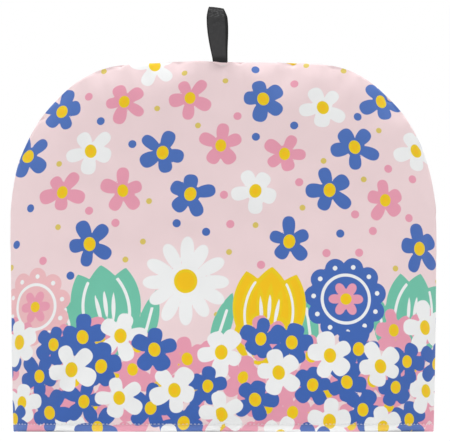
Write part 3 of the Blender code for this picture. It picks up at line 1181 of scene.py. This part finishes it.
# height, centre, width, distance of each leg from the seam's plane
loopSections = np.array([
    (0.2905, -0.0024, 0.0114, 0.0008),
    (0.2975, -0.0024, 0.0116, 0.0009),
    (0.3050, -0.0034, 0.0130, 0.0022),
    (0.3118, -0.0039, 0.0142, 0.0038),
    (0.3186, -0.0043, 0.0154, 0.0047),
    (0.3262, -0.0047, 0.0160, 0.0049),
    (0.3323, -0.0050, 0.0156, 0.0044),
])
loopShape = dict(
    legSteps=60,
    legEasing=30,
    foldSteps=24,
    foldEasing=6,
    columns=40,
    edgeCrowding=0.25,      # how much closer the columns stand at the selvages
    foldCentre=-0.0056,
    foldWidth=0.0120,
    foldRise=loopHigh.z - 0.3329,
    foldSlant=0.13,
    cornerDrop=0.0004,
    legShift=0.0006,
    thickness=0.0012,
    selvage=0.25,           # how much thicker the selvages are
    selvageAt=0.90,
    selvageWidth=0.10,
    selvageSpread=0.05,
    edgeRounding=0.92,
    cupping=0.00035,
    cuppingLow=0.300,       # the tape is flat below, and cupped above the second height
    cuppingHigh=0.312,
    flatWidth=0.0160,
    flatLength=0.1000,
)

# height, x, half length, half width, turn in degrees, how far out
loopDents = (
    (0.3305, -0.0050, 0.0036, 0.0010, 35, -0.00060),
    (0.3285, 0.0005, 0.0040, 0.0009, -25, -0.00055),
    (0.3265, -0.0070, 0.0032, 0.0010, 20, 0.00045),
    (0.3315, 0.0020, 0.0028, 0.0008, 15, 0.00045),
    (0.3270, -0.0020, 0.0028, 0.0008, -40, 0.00040),
    (0.3180, 0.0000, 0.0060, 0.0016, 70, -0.00030),
)


def loopPath():
    # centre x, y, z, width and share of the fold, from the front root over the top to the back root
    loop = loopShape
    rows = np.linspace(0, len(loopSections) - 1, loop["legSteps"] + 1)
    table = np.array([np.interp(rows, range(len(loopSections)), column) for column in loopSections.T]).T
    height, centre, width, apart = eased(table, loop["legEasing"]).T
    lean = loop["legShift"] * apart / apart[-1]
    noFold = np.zeros(len(height))
    front = np.stack([centre - lean, -apart, height, width, noFold], axis=-1)
    back = np.stack([centre + lean, apart, height, width, noFold], axis=-1)
    angle = np.linspace(0.0, math.pi, loop["foldSteps"] + 1)[1:-1]
    share = np.sin(angle)
    fold = np.stack([
        mix(centre[-1], loop["foldCentre"], share) - lean[-1] * np.cos(angle),
        -apart[-1] * np.cos(angle),
        height[-1] + loop["foldRise"] * share,
        mix(width[-1], loop["foldWidth"], share),
        share,
    ], axis=-1)
    return eased(np.concatenate([front, fold, back[::-1]]), loop["foldEasing"])


def makeLoop(name):
    loop = loopShape
    path = loopPath()
    across = np.linspace(-1.0, 1.0, loop["columns"] + 1)
    crowding = loop["edgeCrowding"]
    across = crowding * np.sin(across * math.pi / 2) + (1.0 - crowding) * across
    centre, y, z, width, fold = (column[:, None] for column in path.T)
    drop = fold * (loop["cornerDrop"] * np.abs(across) ** 3 + loop["foldSlant"] * across * width / 2)
    points = np.stack([centre + across * width / 2, y + 0 * across, z - drop], axis=-1)
    normals = unit(np.cross(np.gradient(points, axis=1), np.gradient(points, axis=0)))
    cupped = smoothStep(loop["cuppingLow"], loop["cuppingHigh"], z) * (1.0 - fold)
    cup = loop["cupping"] * (across ** 2) * cupped
    for dentZ, dentX, halfLong, halfWide, turn, outward in loopDents:
        along, aside = turned(points[..., 0] - dentX, points[..., 2] - dentZ, math.radians(turn))
        cup = cup - outward * np.exp(-(along / halfLong) ** 2 - (aside / halfWide) ** 2)
    points = points - normals * cup[..., None]
    pastSelvage = np.abs(across) - loop["selvageAt"]
    edge = np.clip(pastSelvage / loop["selvageWidth"], 0.0, 1.0)
    swell = 1.0 + loop["selvage"] * np.exp(-(pastSelvage / loop["selvageSpread"]) ** 2)
    half = loop["thickness"] / 2 * swell * np.sqrt(1.0 - loop["edgeRounding"] * edge ** 2)
    half = half[None, :, None]
    piece, _ = closedSheet(name, points + normals * half, points - normals * half, 1, False)
    along = lengthAlong(path[:, :3])
    flatAcross = np.tile(across * loop["flatWidth"] / 2, len(path))
    flatUp = np.repeat(along, loop["columns"] + 1)
    storeFlat(piece, np.concatenate([flatAcross] * 2), np.concatenate([flatUp] * 2))
    tapeLength = float(along[-1])
    piece.data.materials.append(tapeCloth(loop["flatWidth"] / 2, tapeLength / 2))
    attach(piece, "root")
    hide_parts("hanging_loop")
    return piece, tapeLength


# everything is made here

panelMaterials = (printedCloth(), plainBacking())
frontCloth, frontHemLine = makePanel("frontCloth", "front_panel", frontCreases, -1.0, panelMaterials)
backCloth, backHemLine = makePanel("backCloth", "back_panel", backCreases, 1.0, panelMaterials)
print("panels made:", len(frontCloth.data.vertices), "points each")

threadMaterial = stitchThread()
frontStitches = makeStitching("frontHemStitches", frontHemLine, -1.0, threadMaterial)
backStitches = makeStitching("backHemStitches", backHemLine, 1.0, threadMaterial)
print("hem stitched")

loopTape, tapeLength = makeLoop("loopTape")
print("loop made, tape length", round(tapeLength, 4))


# floor, light and camera

stageShape = dict(
    floorSize=60.0,
    floorColour=0.18,
    floorRoughness=0.9,
    floorGlow=0.90,
    glowStart=0.0500,      # the floor is darker this close to the middle, and brighter further out; the dark ring round the hem is a painted contact shadow
    glowEnd=0.0522,
    glowAcross=0.31,
    zenith=0.60,
    lampAim=0.15,
)

# place, width, height, power: a soft lamp in front and one overhead, just behind
lamps = (
    ((-0.2, -4.4, 2.2), 2.4, 2.0, 71.0),
    ((0.0, 1.5, 4.7), 8.5, 1.0, 350.0),
)


def makeFloor():
    bpy.ops.mesh.primitive_plane_add(size=stageShape["floorSize"])
    floor = bpy.context.object
    floor.name = "paleFloor"
    material, tree, shader = newMaterial("paleFloor")
    shader.inputs["Base Color"].default_value = (stageShape["floorColour"],) * 3 + (1.0,)
    shader.inputs["Roughness"].default_value = stageShape["floorRoughness"]
    shader.inputs["Emission Color"].default_value = pureWhite
    # the floor is brighter away from the cosy, as the white background is; the unlit ring right round the
    # hem is a painted contact shadow
    place = addNode(tree, "ShaderNodeTexCoord").outputs["Object"]
    place = scaleVector(tree, place, (stageShape["glowAcross"], 1.0, 1.0))
    reach = addNode(tree, "ShaderNodeVectorMath", {0: place}, operation="LENGTH").outputs["Value"]
    share = ramp(tree, reach, stageShape["glowStart"], stageShape["glowEnd"])
    glow = calculate(tree, "MULTIPLY", share, stageShape["floorGlow"])
    tree.links.new(glow, shader.inputs["Emission Strength"])
    floor.data.materials.append(material)


def makeSky():
    # a soft light that comes mostly from above, before a plain white background
    world = bpy.data.worlds.new("paleStudio")
    world.use_nodes = True
    tree = world.node_tree
    sky = tree.nodes["Background"]
    way = addNode(tree, "ShaderNodeTexCoord").outputs["Generated"]
    rise = addNode(tree, "ShaderNodeSeparateXYZ", {0: way}).outputs[2]
    light = calculate(tree, "MULTIPLY", calculate(tree, "MAXIMUM", rise, 0.0), stageShape["zenith"])
    seen = addNode(tree, "ShaderNodeLightPath").outputs["Is Camera Ray"]
    tree.links.new(calculate(tree, "MAXIMUM", light, seen), sky.inputs["Strength"])
    sky.inputs["Color"].default_value = pureWhite
    bpy.context.scene.world = world


def makeLamps():
    for place, width, height, power in lamps:
        bpy.ops.object.light_add(type="AREA", location=place)
        lamp = bpy.context.object
        lamp.data.shape = "RECTANGLE"
        lamp.data.size, lamp.data.size_y = width, height
        lamp.data.energy = power
        aim = Vector((0.0, 0.0, stageShape["lampAim"])) - lamp.location
        lamp.rotation_euler = aim.to_track_quat("-Z", "Y").to_euler()


cameraShape = dict(
    distance=10.0,
    height=0.0006,
    x=0.00136,
    aimHeight=0.16896,
    viewWidth=0.36,
    sensor=36.0,
    nearest=0.1,
    furthest=200.0,
)


def makeCamera():
    view = cameraShape
    bpy.ops.object.camera_add(location=(view["x"], -view["distance"], view["height"]))
    camera = bpy.context.object
    camera.data.sensor_width = view["sensor"]
    camera.data.lens = view["sensor"] * view["distance"] / view["viewWidth"]
    camera.data.clip_start, camera.data.clip_end = view["nearest"], view["furthest"]
    aim = Vector((view["x"], 0.0, view["aimHeight"])) - camera.location
    camera.rotation_euler = aim.to_track_quat("-Z", "Y").to_euler()
    bpy.context.scene.camera = camera


makeFloor()
makeSky()
makeLamps()
makeCamera()
bpy.context.scene.view_settings.view_transform = "Standard"
print("stage and camera ready")
